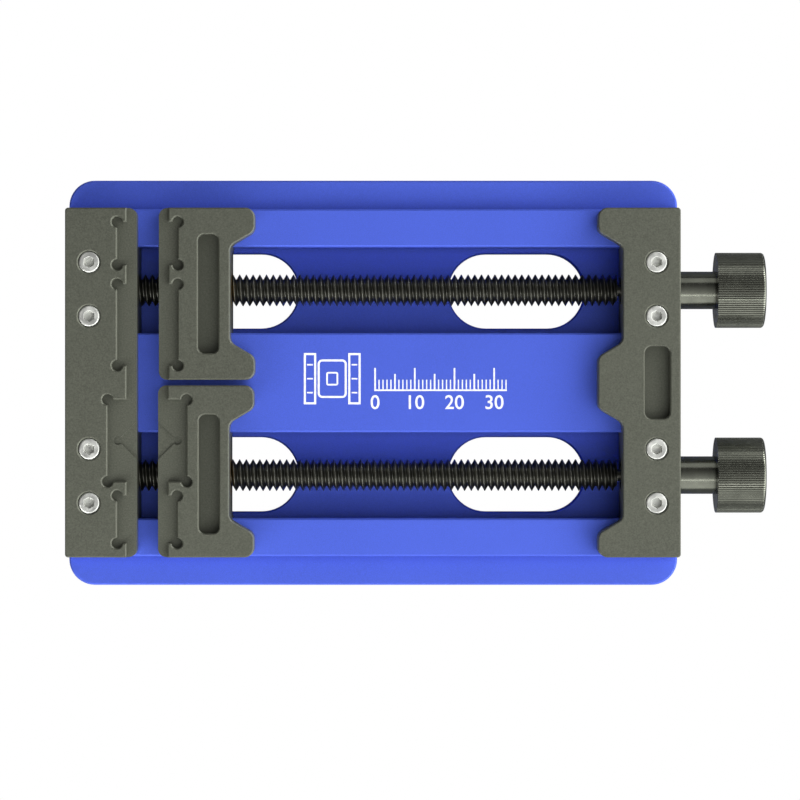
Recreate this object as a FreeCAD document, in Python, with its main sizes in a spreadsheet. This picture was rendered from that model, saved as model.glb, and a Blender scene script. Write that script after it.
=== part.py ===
import FreeCAD, Part
import math
import os
import Sketcher

# Two-jaw holder vise for bare circuit boards.  Millimetres, +X towards the knobs, +Y towards the
# rear jaw, +Z up; the origin is the middle of the base plate on the bench.

V = FreeCAD.Vector
doc = FreeCAD.newDocument("board_vise")

# alias, value, what it is
SIZES = [
    ("base_length", 154.0, "base plate along X"),
    ("base_width", 102.4, "base plate along Y"),
    ("base_height", 15.0, "base plate, underside to deck"),
    ("base_corner", 6.5, "radius of the plate's four corners"),
    ("flange_height", 10.5, "base plate, underside to the lower side flanges"),
    ("flange_width", 7.45, "lower side flanges, outside the raised deck and the blocks"),
    ("floor_thickness", 4.0, "plate under the channels"),
    ("channel_spacing", 46.75, "between the two channels and the two screw axes"),
    ("channel_width", 21.75, "channel across Y"),
    ("slot_margin", 1.375, "channel floor left each side of the through slots"),
    ("slot_run", 15.6, "between a slot's two end centres"),
    ("slot_offset", 36.45, "slot centre from the plate's middle"),
    ("edge_break", 0.4, "chamfer on the plate's edges"),
    ("foot_diameter", 10.0, "rubber foot"),
    ("foot_height", 1.5, "rubber foot below the plate"),
    ("foot_recess", 0.5, "rubber foot let into the plate"),
    ("foot_inset_x", 12.0, "rubber foot centre from the plate's end"),
    ("foot_inset_y", 8.5, "rubber foot centre from the plate's side"),
    ("foot_round", 0.4, "rounding of the rubber foot"),
    ("block_height", 7.0, "blocks and jaws above the deck"),
    ("block_break", 0.3, "chamfer on the top edges of blocks and jaws"),
    ("left_block_length", 17.85, "fixed clamping block along X"),
    ("right_block_length", 20.65, "bearing block along X, over its lobes"),
    ("jaw_length", 24.1, "jaw along X, over its lobes"),
    ("jaw_gap", 1.4, "between the two jaws, across Y"),
    ("rear_opening", 5.5, "left block to rear jaw, as set"),
    ("front_opening", 5.3, "left block to front jaw, as set"),
    ("leg_clearance", 0.02, "block leg to channel wall"),
    ("jaw_side_clearance", 0.15, "jaw leg to channel wall"),
    ("jaw_float", 0.1, "jaw above the deck"),
    ("jaw_foot_clearance", 0.4, "jaw leg above the channel floor"),
    ("inner_corner", 2.1, "corner radius on the clamping edges"),
    ("end_corner", 0.8, "corner radius on the outer ends"),
    ("lobe_corner", 2.4, "corner radius on the lobes"),
    ("recess_fillet", 2.4, "inner corner radius between lobes"),
    ("recess_depth", 6.2, "lobes stand out by this much"),
    ("middle_lobe", 6.45, "middle lobe, half width at its tip"),
    ("middle_root", 10.15, "middle lobe, half width at its root"),
    ("outer_root", 9.55, "outer lobe's root from the block's side"),
    ("outer_lobe", 5.95, "outer lobe's tip from the block's side"),
    ("ledge_depth", 2.0, "board ledge below the top"),
    ("ledge_reach", 2.5, "board ledge, plain stretches"),
    ("notch_reach", 4.85, "board ledge, notches"),
    ("deep_notch_reach", 7.25, "board ledge, deep notch"),
    ("outer_notch_inset", 3.55, "outer notches' far wall from the block's side"),
    ("rear_outer_notch_near", 29.45, "rear outer notch's near wall"),
    ("rear_inner_notch_far", 24.65, "rear inner notch's far wall"),
    ("front_outer_notch_near", 28.3, "front outer notch's near wall"),
    ("front_inner_notch_far", 24.8, "front inner notch's far wall"),
    ("inner_notch_near", 4.25, "inner notches' near wall"),
    ("relief_radius", 1.35, "dog-bone relief in the notch corners"),
    ("relief_lip", 0.35, "rounding where a relief meets the notch walls"),
    ("vee_centre", 14.5, "vee seat's centre from the middle"),
    ("vee_half", 4.8, "vee seat, half opening and depth along X"),
    ("vee_depth", 0.5, "vee seat below the ledge"),
    ("vee_relief_radius", 1.1, "relief at the vee seat's point"),
    ("jaw_pocket_width", 5.1, "parts tray in the jaw, along X"),
    ("jaw_pocket_corner", 1.6, "corner radius of the jaw's tray"),
    ("rear_pocket_offset", 9.9, "rear tray's near wall from the clamping edge"),
    ("front_pocket_offset", 10.3, "front tray's near wall from the clamping edge"),
    ("rear_pocket_start", 7.3, "rear tray's near end from the middle"),
    ("rear_pocket_inset", 6.65, "rear tray's far end from the jaw's side"),
    ("front_pocket_start", 8.0, "front tray's near end from the middle"),
    ("front_pocket_inset", 5.95, "front tray's far end from the jaw's side"),
    ("block_pocket_length", 18.2, "parts tray in the bearing block, across Y"),
    ("block_pocket_width", 6.35, "parts tray in the bearing block, along X"),
    ("block_pocket_corner", 1.8, "corner radius of the block's tray"),
    ("block_pocket_inset", 2.65, "block's tray from the outer end"),
    ("pocket_depth", 3.2, "depth of the parts trays"),
    ("screw_inset", 6.0, "cap screws from the block's outer end"),
    ("screw_spread", 6.75, "cap screws either side of the lead screw axis"),
    ("screw_diameter", 3.0, "cap screw shank"),
    ("screw_length", 18.0, "cap screw under its head"),
    ("head_diameter", 5.4, "cap screw head"),
    ("head_height", 3.0, "cap screw head"),
    ("head_recess", 0.15, "cap screw head below the block's top"),
    ("head_round", 0.45, "rounding of the cap screw head"),
    ("hex_across", 2.5, "cap screw socket across flats"),
    ("hex_depth", 1.6, "cap screw socket depth"),
    ("head_clearance", 0.08, "counterbore around the head"),
    ("shank_clearance", 0.2, "clearance hole around the shank, in the block"),
    ("tapped_clearance", 0.02, "tapped hole around the shank, in the plate"),
    ("axis_drop", 4.0, "lead screw axis below the deck"),
    ("thread_diameter", 8.0, "lead screw over its crests"),
    ("thread_root", 5.5, "lead screw at its roots"),
    ("thread_pitch", 1.7, "lead screw pitch, single start, right hand"),
    ("crest_flat", 0.12, "flat on the thread's crest"),
    ("root_flat", 0.14, "flat at the thread's root"),
    ("end_thread_gap", 0.2, "thread's end to the left block"),
    ("drive_thread_gap", 1.0, "thread's end to the bearing block"),
    ("thread_clearance", 0.15, "nut thread outside the screw thread"),
    ("journal_diameter", 3.0, "lead screw journals"),
    ("running_clearance", 0.03, "bush bore around the journal, radial"),
    ("end_journal_length", 9.0, "journal's reach into the left block"),
    ("bush_diameter", 6.0, "bronze bush outside"),
    ("end_bush_length", 9.5, "bronze bush in the left block"),
    ("nut_diameter", 10.4, "jaw nut outside"),
    ("nut_length", 12.0, "jaw nut along the screw"),
    ("bore_clearance", 0.4, "jaw's through bore around the thread"),
    ("clip_diameter", 6.0, "retaining clip outside"),
    ("clip_thickness", 0.6, "retaining clip"),
    ("clip_groove_diameter", 2.3, "journal at the clip's groove"),
    ("clip_gap", 0.05, "clip to the bush, and groove around the clip"),
    ("clip_bore", 7.4, "recess for the clip in the bearing block"),
    ("clip_bore_depth", 1.5, "recess for the clip in the bearing block"),
    ("clip_mouth", 2.2, "retaining clip's opening"),
    ("hub_gap", 0.1, "knob hub to the block's end face"),
    ("hub_diameter", 9.5, "knob hub"),
    ("hub_length", 9.5, "knob hub"),
    ("grip_diameter", 19.0, "knob grip over its ribs"),
    ("grip_length", 12.1, "knob grip"),
    ("grip_round", 0.8, "rounding of the grip's outer end"),
    ("rib_count", 100, "straight ribs around the grip"),
    ("rib_depth", 0.16, "depth of the grooves between ribs"),
    ("rib_groove_share", 0.55, "groove's part of the distance from rib to rib"),
    ("rib_groove_overcut", 0.04, "groove's outline outside the grip"),
    ("knob_bore_depth", 14.0, "journal's reach into the knob"),
    ("set_screw_diameter", 2.5, "knob's set screw"),
    ("set_screw_socket", 1.27, "set screw socket across flats"),
    ("set_screw_recess", 0.3, "set screw below the hub's surface"),
]

sheet = doc.addObject("Spreadsheet::Sheet", "sizes")
for row, (alias, value, meaning) in enumerate(SIZES, start=1):
    sheet.set(f"A{row}", meaning)
    sheet.set(f"B{row}", str(value))
    sheet.setAlias(f"B{row}", alias)
doc.recompute()

# ---------------------------------------------------------------- places worked out from the sizes
CHANNEL_Y = "sizes.channel_spacing / 2"
HALF = "(sizes.base_width / 2 - sizes.flange_width)"
SLOT_WIDTH = "(sizes.channel_width - 2 * sizes.slot_margin)"
LEG_DEPTH = "(sizes.base_height - sizes.floor_thickness)"
LEFT_INNER = "(sizes.left_block_length - sizes.base_length / 2)"
RIGHT_START = "(sizes.base_length / 2 - sizes.right_block_length)"
RIGHT_WALL = "(sizes.base_length / 2 - sizes.right_block_length + sizes.recess_depth)"
JAW_BODY = "(sizes.jaw_length - sizes.recess_depth)"
DECK_Z = "(sizes.foot_height + sizes.base_height)"
AXIS_Z = "(sizes.foot_height + sizes.base_height - sizes.axis_drop)"
HUB_X = "(sizes.base_length / 2 + sizes.hub_gap)"
SIDES = {"rear": 1, "front": -1}
CLOSE = 1e-4    # coordinates this near each other are the same


def number(expression):
    """The present value of an expression of the sizes sheet."""
    value = sheet.evalExpression(expression)
    return float(getattr(value, "Value", value))


def new_body(name, x="0", y="0", z="0"):
    """An empty body for one sub-part, placed by expressions."""
    body = doc.addObject("PartDesign::Body", name)
    body.Label = name
    body.AllowCompound = True
    for axis, place in zip("xyz", (x, y, z)):
        body.setExpression(f"Placement.Base.{axis}", place)
    return body


def origin_part(body, role):
    """One of the body's own origin planes or axes."""
    return next(item for item in body.Origin.OriginFeatures if item.Role == role)


def new_sketch(body, name, plane="XY_Plane", height="0"):
    """A sketch on one of the body's origin planes, moved along that plane's normal."""
    sketch = body.newObject("Sketcher::SketchObject", name)
    sketch.AttachmentSupport = (origin_part(body, plane), [""])
    sketch.MapMode = "FlatFace"
    sketch.setExpression("AttachmentOffset.Base.z", height)
    return sketch


def hold(sketch, kind, *places, size):
    """A constraint whose value is an expression of the sizes sheet."""
    index = sketch.addConstraint(Sketcher.Constraint(kind, *places, number(size)))
    sketch.setExpression(f"Constraints[{index}]", size)


def hold_point(sketch, geometry, point, x, y):
    """Hold one point of the sketch at (x, y) from its origin."""
    hold(sketch, "DistanceX", -1, 1, geometry, point, size=x)
    hold(sketch, "DistanceY", -1, 1, geometry, point, size=y)


def add_outline(sketch, corners):
    """A closed outline of straight lines through (x, y) expressions."""
    first = sketch.GeometryCount
    points = [V(number(x), number(y), 0) for x, y in corners]
    count = len(points)
    for i in range(count):
        sketch.addGeometry(Part.LineSegment(points[i], points[(i + 1) % count]), False)
    for i in range(count):
        sketch.addConstraint(Sketcher.Constraint("Coincident", first + i, 2, first + (i + 1) % count, 1))
    for i, (x, y) in enumerate(corners):
        hold_point(sketch, first + i, 1, x, y)


def add_rectangle(sketch, x0, x1, y0, y1):
    """A rectangle between two x and two y expressions."""
    add_outline(sketch, [(x0, y0), (x1, y0), (x1, y1), (x0, y1)])


def add_circle(sketch, x, y, diameter):
    """A circle about an (x, y) expression."""
    circle = Part.Circle(V(number(x), number(y), 0), V(0, 0, 1), number(diameter) / 2)
    index = sketch.addGeometry(circle, False)
    hold_point(sketch, index, 3, x, y)
    hold(sketch, "Diameter", index, size=diameter)


def add_slot(sketch, x, y):
    """A slot with round ends, along X, about an (x, y) expression."""
    radius = number(SLOT_WIDTH) / 2
    ends = [f"{x} - sizes.slot_run / 2", f"{x} + sizes.slot_run / 2"]
    middle = [V(number(end), number(y), 0) for end in ends]
    quarter = math.pi / 2
    circles = [Part.Circle(centre, V(0, 0, 1), radius) for centre in middle]
    first = sketch.GeometryCount
    sketch.addGeometry(Part.ArcOfCircle(circles[0], quarter, 3 * quarter), False)
    sketch.addGeometry(Part.ArcOfCircle(circles[1], -quarter, quarter), False)
    up = V(0, radius, 0)
    sketch.addGeometry(Part.LineSegment(middle[0] - up, middle[1] - up), False)
    sketch.addGeometry(Part.LineSegment(middle[1] + up, middle[0] + up), False)
    left, right, lower, upper = range(first, first + 4)
    for joint in ((left, 2, lower, 1), (lower, 2, right, 1), (right, 2, upper, 1), (upper, 2, left, 1)):
        sketch.addConstraint(Sketcher.Constraint("Tangent", *joint))
    hold_point(sketch, left, 3, ends[0], y)
    hold(sketch, "DistanceX", -1, 1, right, 3, size=ends[1])
    hold(sketch, "Radius", left, size=f"{SLOT_WIDTH} / 2")


def pad(body, sketch, length, down=False):
    """Grow a sketch into material."""
    feature = body.newObject("PartDesign::Pad", sketch.Name + "_pad")
    feature.Profile = sketch
    feature.setExpression("Length", length)
    feature.Reversed = down
    doc.recompute()
    return feature


def pocket(body, sketch, depth=None, onward=False):
    """Cut a sketch out, against its normal or onward along it; all the way with no depth."""
    feature = body.newObject("PartDesign::Pocket", sketch.Name + "_cut")
    feature.Profile = sketch
    feature.Reversed = onward
    if depth is None:
        feature.Type = "ThroughAll"
    else:
        feature.setExpression("Length", depth)
    doc.recompute()
    return feature


def edges_where(body, test, edge_test=lambda edge: True):
    """Names of the edges that pass one test, and whose two ends and middle all pass another."""
    names = []
    for index, edge in enumerate(body.Tip.Shape.Edges, start=1):
        middle = edge.valueAt((edge.FirstParameter + edge.LastParameter) / 2)
        points = [vertex.Point for vertex in edge.Vertexes] + [middle]
        if edge_test(edge) and all(test(point) for point in points):
            names.append(f"Edge{index}")
    return names


def dress(body, kind, name, test, size, edge_test=lambda edge: True):
    """A fillet or a chamfer on the edges that pass the tests."""
    base = body.Tip
    names = edges_where(body, test, edge_test)
    if not names:
        raise RuntimeError(f"{name} finds no edges")
    feature = body.newObject(f"PartDesign::{kind}", name)
    feature.Base = (base, names)
    feature.setExpression("Radius" if kind == "Fillet" else "Size", size)
    base.Visibility = False
    doc.recompute()
    return feature


def near(value, expression, slack=CLOSE):
    """Whether a coordinate is where an expression says."""
    return abs(value - number(expression)) < slack


def level(z):
    """A test for edges that lie at one height."""
    return lambda p: near(p.z, z)


def channel_sides(margin):
    """The two walls of both channels, as (near, far) expressions, with a margin to each wall."""
    half = f"(sizes.channel_width / 2 - {margin})"
    return [(f"{sign} * ({CHANNEL_Y} - {half})", f"{sign} * ({CHANNEL_Y} + {half})")
            for sign in SIDES.values()]


def cap_screw_places(x):
    """The four cap screw centres of a block, for one x expression."""
    return [(x, f"{side} * {CHANNEL_Y} + {spread} * sizes.screw_spread")
            for side in SIDES.values() for spread in (-1, 1)]


# ---------------------------------------------------------------------------------- base plate
PLATE_ENDS = ("-sizes.base_length / 2", "sizes.base_length / 2")


def build_base_plate():
    """One plate: side flanges, raised deck, two channels, four slots, tapped holes, foot recesses."""
    body = new_body("base_plate", z="sizes.foot_height")
    side = "sizes.base_width / 2"
    outline = new_sketch(body, "plate_outline")
    add_rectangle(outline, *PLATE_ENDS, f"-{side}", side)
    pad(body, outline, "sizes.flange_height")
    dress(body, "Fillet", "plate_corners", lambda p: near(abs(p.x), PLATE_ENDS[1]) and near(abs(p.y), side),
          "sizes.base_corner")
    deck = new_sketch(body, "deck_outline", height="sizes.flange_height")
    add_rectangle(deck, *PLATE_ENDS, "-" + HALF, HALF)
    pad(body, deck, "sizes.base_height - sizes.flange_height")
    cut_plate_openings(body)
    break_plate_edges(body)


def cut_plate_openings(body):
    """The channels, the slots in their floors, the tapped holes and the foot recesses."""
    channels = new_sketch(body, "channels", height="sizes.base_height")
    for wall in channel_sides("0"):
        add_rectangle(channels, *PLATE_ENDS, *wall)
    pocket(body, channels, LEG_DEPTH)
    slots = new_sketch(body, "slots", height="sizes.floor_thickness")
    for side in SIDES.values():
        for end in (-1, 1):
            add_slot(slots, f"{end} * sizes.slot_offset", f"{side} * {CHANNEL_Y}")
    pocket(body, slots)
    tapped = new_sketch(body, "tapped_holes", height="sizes.floor_thickness")
    for end in (-1, 1):
        for x, y in cap_screw_places(f"{end} * (sizes.base_length / 2 - sizes.screw_inset)"):
            add_circle(tapped, x, y, "sizes.screw_diameter + 2 * sizes.tapped_clearance")
    pocket(body, tapped)
    recesses = new_sketch(body, "foot_recesses")
    for x, y in foot_places():
        add_circle(recesses, x, y, "sizes.foot_diameter")
    pocket(body, recesses, "sizes.foot_recess", onward=True)


def break_plate_edges(body):
    """Chamfer the deck, the flanges and the slots' rims."""
    deck_side = number(HALF) + CLOSE
    slot_side = number(SLOT_WIDTH) / 2
    slot_reach = number("sizes.slot_offset + sizes.slot_run / 2") + slot_side + CLOSE
    dress(body, "Chamfer", "deck_edges", lambda p: near(p.z, "sizes.base_height") and abs(p.y) < deck_side,
          "sizes.edge_break")
    dress(body, "Chamfer", "flange_edges",
          lambda p: near(p.z, "sizes.flange_height") and abs(p.y) > deck_side, "sizes.edge_break")
    dress(body, "Chamfer", "slot_edges",
          lambda p: near(p.z, "sizes.floor_thickness") and abs(p.x) < slot_reach
          and abs(abs(abs(p.y) - number(CHANNEL_Y)) - slot_side) < CLOSE,
          "sizes.edge_break")


def foot_places():
    """Centres of the four feet."""
    x = "(sizes.base_length / 2 - sizes.foot_inset_x)"
    y = "(sizes.base_width / 2 - sizes.foot_inset_y)"
    return [(f"{i} * {x}", f"{j} * {y}") for i in (-1, 1) for j in (-1, 1)]


def build_feet():
    """Four round rubber pads, let into the plate."""
    body = new_body("rubber_feet")
    pads = new_sketch(body, "feet_outline")
    for x, y in foot_places():
        add_circle(pads, x, y, "sizes.foot_diameter")
    pad(body, pads, "sizes.foot_height + sizes.foot_recess")
    dress(body, "Fillet", "feet_rims", level("0"), "sizes.foot_round")
    return body


# ------------------------------------------------------------------------------ blocks and jaws
def add_legs(body, x0, x1, walls, top, length):
    """Legs that reach down from a slab into the channels."""
    legs = new_sketch(body, "legs", height=top)
    for near_wall, far_wall in walls:
        add_rectangle(legs, x0, x1, near_wall, far_wall)
    pad(body, legs, length, down=True)


PLAIN, NOTCH, DEEP = "sizes.ledge_reach", "sizes.notch_reach", "sizes.deep_notch_reach"
NOTCH_FAR = f"({HALF} - sizes.outer_notch_inset)"
FRONT_STEPS = [("-" + NOTCH_FAR, NOTCH), ("-sizes.front_outer_notch_near", PLAIN),
               ("-sizes.front_inner_notch_far", DEEP), ("-sizes.inner_notch_near", PLAIN)]
REAR_STEPS = [("sizes.inner_notch_near", NOTCH), ("sizes.rear_inner_notch_far", PLAIN),
              ("sizes.rear_outer_notch_near", NOTCH), (NOTCH_FAR, PLAIN)]


def cut_ledge(body, edge, inward, start_y, end_y, steps):
    """Sink the board ledge along a clamping edge; each step is where the wall's reach changes."""
    outside = f"{edge} - {inward} * sizes.ledge_reach"
    reach = PLAIN
    corners = [(outside, start_y), (f"{edge} + {inward} * {reach}", start_y)]
    reliefs = []
    for y, next_reach in steps:
        walls = [f"{edge} + {inward} * {reach}", f"{edge} + {inward} * {next_reach}"]
        corners += [(wall, y) for wall in walls]
        reliefs.append((walls[1] if reach == PLAIN else walls[0], y))
        reach = next_reach
    corners += [(f"{edge} + {inward} * {reach}", end_y), (outside, end_y)]
    ledge = new_sketch(body, "ledge", height="sizes.block_height")
    add_outline(ledge, corners)
    pocket(body, ledge, "sizes.ledge_depth")
    bones = new_sketch(body, "ledge_reliefs", height="sizes.block_height")
    for x, y in reliefs:
        add_circle(bones, x, y, "2 * sizes.relief_radius")
    pocket(body, bones, "sizes.ledge_depth")
    radius = number("sizes.relief_radius")
    centres = [V(number(x), number(y), 0) for x, y in reliefs]
    on_relief = lambda p: any(abs(math.hypot(p.x - c.x, p.y - c.y) - radius) < CLOSE for c in centres)
    upright = lambda edge: abs(edge.Vertexes[0].Z - edge.Vertexes[-1].Z) > CLOSE
    dress(body, "Fillet", "relief_lips", on_relief, "sizes.relief_lip", upright)


def cut_vee(body, edge, inward):
    """A shallow vee seat in the ledge, with a round relief at its point."""
    height = "sizes.block_height - sizes.ledge_depth"
    point = f"{edge} + {inward} * sizes.vee_half"
    vee = new_sketch(body, "vee_seat", height=height)
    add_outline(vee, [(edge, "-sizes.vee_centre - sizes.vee_half"), (point, "-sizes.vee_centre"),
                      (edge, "-sizes.vee_centre + sizes.vee_half")])
    pocket(body, vee, "sizes.vee_depth")
    relief = new_sketch(body, "vee_relief", height=height)
    add_circle(relief, point, "-sizes.vee_centre", "2 * sizes.vee_relief_radius")
    pocket(body, relief, "sizes.vee_depth")


def cut_cap_screw_holes(body, x):
    """Counterbores and clearance holes for a block's four cap screws."""
    heads = new_sketch(body, "counterbores", height="sizes.block_height")
    shanks = new_sketch(body, "shank_holes", height="sizes.block_height")
    for place in cap_screw_places(x):
        add_circle(heads, *place, "sizes.head_diameter + 2 * sizes.head_clearance")
        add_circle(shanks, *place, "sizes.screw_diameter + 2 * sizes.shank_clearance")
    pocket(body, shanks)
    pocket(body, heads, "sizes.head_height + sizes.head_recess")


def round_uprights(body, name, x, ys, size):
    """Round the upright edges of the slab over one x and several y."""
    on_side = lambda p: near(p.x, x) and p.z > -CLOSE and any(near(p.y, y) for y in ys)
    dress(body, "Fillet", name, on_side, size)


def cut_lobes(body, x_tip, outward, sides):
    """Cut the recess between lobes through a slab, and round its corners."""
    beyond = f"{x_tip} + {outward} * sizes.recess_depth"
    root = f"{x_tip} - {outward} * sizes.recess_depth"
    recess = new_sketch(body, "lobe_recess", height="sizes.block_height")
    tips, roots = [], []
    for side in sides:
        tips += [f"{side} * sizes.middle_lobe", f"{side} * ({HALF} - sizes.outer_lobe)"]
        roots += [f"{side} * sizes.middle_root", f"{side} * ({HALF} - sizes.outer_root)"]
        (tip, outer_tip), (foot, outer_foot) = tips[-2:], roots[-2:]
        add_outline(recess, [(beyond, tip), (beyond, outer_tip), (x_tip, outer_tip),
                             (root, outer_foot), (root, foot), (x_tip, tip)])
    pocket(body, recess, "sizes.block_height")
    round_uprights(body, "lobe_corners", x_tip, tips, "sizes.lobe_corner")
    round_uprights(body, "recess_corners", root, roots, "sizes.recess_fillet")


def cut_tray(body, x0, x1, y0, y1, corner):
    """A tray with round corners for small parts."""
    tray = new_sketch(body, "tray", height="sizes.block_height")
    add_rectangle(tray, x0, x1, y0, y1)
    pocket(body, tray, "sizes.pocket_depth")
    for name, x in (("tray_near_corners", x0), ("tray_far_corners", x1)):
        round_uprights(body, name, x, (y0, y1), corner)


def cut_bores(body, name, x, circles, depth=None, onward=False):
    """Bores along X from one x: circles of (y, diameter) at the height of the lead screws."""
    bores = new_sketch(body, name, plane="YZ_Plane", height=x)
    for y, diameter in circles:
        add_circle(bores, y, "-sizes.axis_drop", diameter)
    pocket(body, bores, depth, onward)


def break_top(body):
    """Chamfer every edge of the top face."""
    dress(body, "Chamfer", "top_edges", lambda p: near(p.z, "sizes.block_height"), "sizes.block_break")


AXES = [f"{side} * {CHANNEL_Y}" for side in SIDES.values()]


def build_left_block():
    """The fixed clamping block, over both channels."""
    body = new_body("left_block", x="-sizes.base_length / 2", z=DECK_Z)
    edge = "sizes.left_block_length"
    slab = new_sketch(body, "left_slab")
    add_rectangle(slab, "0", edge, "-" + HALF, HALF)
    pad(body, slab, "sizes.block_height")
    add_legs(body, "0", edge, channel_sides("sizes.leg_clearance"), "0", LEG_DEPTH)
    round_uprights(body, "outer_corners", "0", ("-" + HALF, HALF), "sizes.end_corner")
    round_uprights(body, "clamping_corners", edge, ("-" + HALF, HALF), "sizes.inner_corner")
    cut_ledge(body, edge, -1, f"-{HALF} - sizes.ledge_reach", f"{HALF} + sizes.ledge_reach",
              FRONT_STEPS + REAR_STEPS)
    cut_vee(body, edge, -1)
    cut_cap_screw_holes(body, "sizes.screw_inset")
    cut_bores(body, "end_bush_bores", edge, [(y, "sizes.bush_diameter") for y in AXES],
              "sizes.end_bush_length")
    break_top(body)


def build_right_block():
    """The bearing block, with lobes towards the jaws."""
    body = new_body("right_block", x=RIGHT_START, z=DECK_Z)
    end = "sizes.right_block_length"
    tray_end = f"{end} - sizes.block_pocket_inset"
    slab = new_sketch(body, "right_slab")
    add_rectangle(slab, "0", end, "-" + HALF, HALF)
    pad(body, slab, "sizes.block_height")
    add_legs(body, "sizes.recess_depth", end, channel_sides("sizes.leg_clearance"), "0", LEG_DEPTH)
    round_uprights(body, "outer_corners", end, ("-" + HALF, HALF), "sizes.end_corner")
    round_uprights(body, "lobe_ends", "0", ("-" + HALF, HALF), "sizes.lobe_corner")
    cut_lobes(body, "0", -1, list(SIDES.values()))
    cut_tray(body, f"{tray_end} - sizes.block_pocket_width", tray_end, "-sizes.block_pocket_length / 2",
             "sizes.block_pocket_length / 2", "sizes.block_pocket_corner")
    cut_cap_screw_holes(body, f"{end} - sizes.screw_inset")
    cut_bores(body, "drive_bush_bores", "sizes.recess_depth", [(y, "sizes.bush_diameter") for y in AXES],
              onward=True)
    cut_bores(body, "clip_recesses", "sizes.recess_depth", [(y, "sizes.clip_bore") for y in AXES],
              "sizes.clip_bore_depth", onward=True)
    break_top(body)


def build_jaw(name, side):
    """One sliding jaw: slab over the deck, leg in its channel, bored for its screw and nut."""
    body = new_body(f"{name}_jaw_block", x=f"{LEFT_INNER} + sizes.{name}_opening", z=DECK_Z)
    inner, outer = f"{side} * sizes.jaw_gap / 2", f"{side} * {HALF}"
    slab = new_sketch(body, "jaw_slab", height="sizes.jaw_float")
    add_rectangle(slab, "0", "sizes.jaw_length", inner, outer)
    pad(body, slab, "sizes.block_height - sizes.jaw_float")
    walls = channel_sides("sizes.jaw_side_clearance")
    add_legs(body, "0", JAW_BODY, [walls[0] if side > 0 else walls[1]], "sizes.jaw_float",
             f"{LEG_DEPTH} + sizes.jaw_float - sizes.jaw_foot_clearance")
    round_uprights(body, "clamping_corners", "0", (inner, outer), "sizes.inner_corner")
    round_uprights(body, "lobe_ends", "sizes.jaw_length", (inner, outer), "sizes.lobe_corner")
    cut_lobes(body, "sizes.jaw_length", 1, [side])
    if side > 0:
        cut_ledge(body, "0", 1, "0", f"{HALF} + sizes.ledge_reach", REAR_STEPS)
    else:
        cut_ledge(body, "0", 1, f"-{HALF} - sizes.ledge_reach", "0", FRONT_STEPS)
        cut_vee(body, "0", 1)
    cut_tray(body, f"sizes.{name}_pocket_offset", f"sizes.{name}_pocket_offset + sizes.jaw_pocket_width",
             f"{side} * sizes.{name}_pocket_start", f"{side} * ({HALF} - sizes.{name}_pocket_inset)",
             "sizes.jaw_pocket_corner")
    axis = f"{side} * {CHANNEL_Y}"
    cut_bores(body, "screw_bore", JAW_BODY, [(axis, "sizes.thread_diameter + 2 * sizes.bore_clearance")])
    cut_bores(body, "nut_bore", JAW_BODY, [(axis, "sizes.nut_diameter")], "sizes.nut_length")
    break_top(body)


# ------------------------------------------------------------------------------------ fasteners
HEX_CORNERS = 6


def add_hexagon(sketch, x, y, across):
    """A hexagon about an (x, y) expression, by its size across flats."""
    corners = []
    for i in range(HEX_CORNERS):
        turn = math.pi * (2 * i + 1) / HEX_CORNERS
        corners.append((f"{x} + {math.cos(turn) / math.sqrt(3):.9f} * {across}",
                        f"{y} + {math.sin(turn) / math.sqrt(3):.9f} * {across}"))
    add_outline(sketch, corners)


def build_cap_screws(name, x):
    """Four socket head cap screws over one x expression, heads seated in their counterbores."""
    seat = f"{DECK_Z} + sizes.block_height - sizes.head_recess - sizes.head_height"
    body = new_body(name, z=seat)
    heads = new_sketch(body, "heads")
    shanks = new_sketch(body, "shanks")
    sockets = new_sketch(body, "sockets", height="sizes.head_height")
    for place in cap_screw_places(x):
        add_circle(heads, *place, "sizes.head_diameter")
        add_circle(shanks, *place, "sizes.screw_diameter")
        add_hexagon(sockets, *place, "sizes.hex_across")
    pad(body, heads, "sizes.head_height")
    dress(body, "Fillet", "head_rims", lambda p: near(p.z, "sizes.head_height"), "sizes.head_round")
    pad(body, shanks, "sizes.screw_length", down=True)
    pocket(body, sockets, "sizes.hex_depth")


# -------------------------------------------------------------------- lead screws and their fits
def build_bush(name, x, side, length):
    """A plain bronze bush around a journal, from one x onward."""
    body = new_body(name, x=x, y=f"{side} * {CHANNEL_Y}", z=AXIS_Z)
    ring = new_sketch(body, "bush_ring", plane="YZ_Plane")
    add_circle(ring, "0", "0", "sizes.bush_diameter")
    add_circle(ring, "0", "0", "sizes.journal_diameter + 2 * sizes.running_clearance")
    pad(body, ring, length)


def rod(diameter, start, end):
    """A plain round bar along X."""
    return Part.makeCylinder(diameter / 2, end - start, V(start, 0, 0), V(1, 0, 0))


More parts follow.
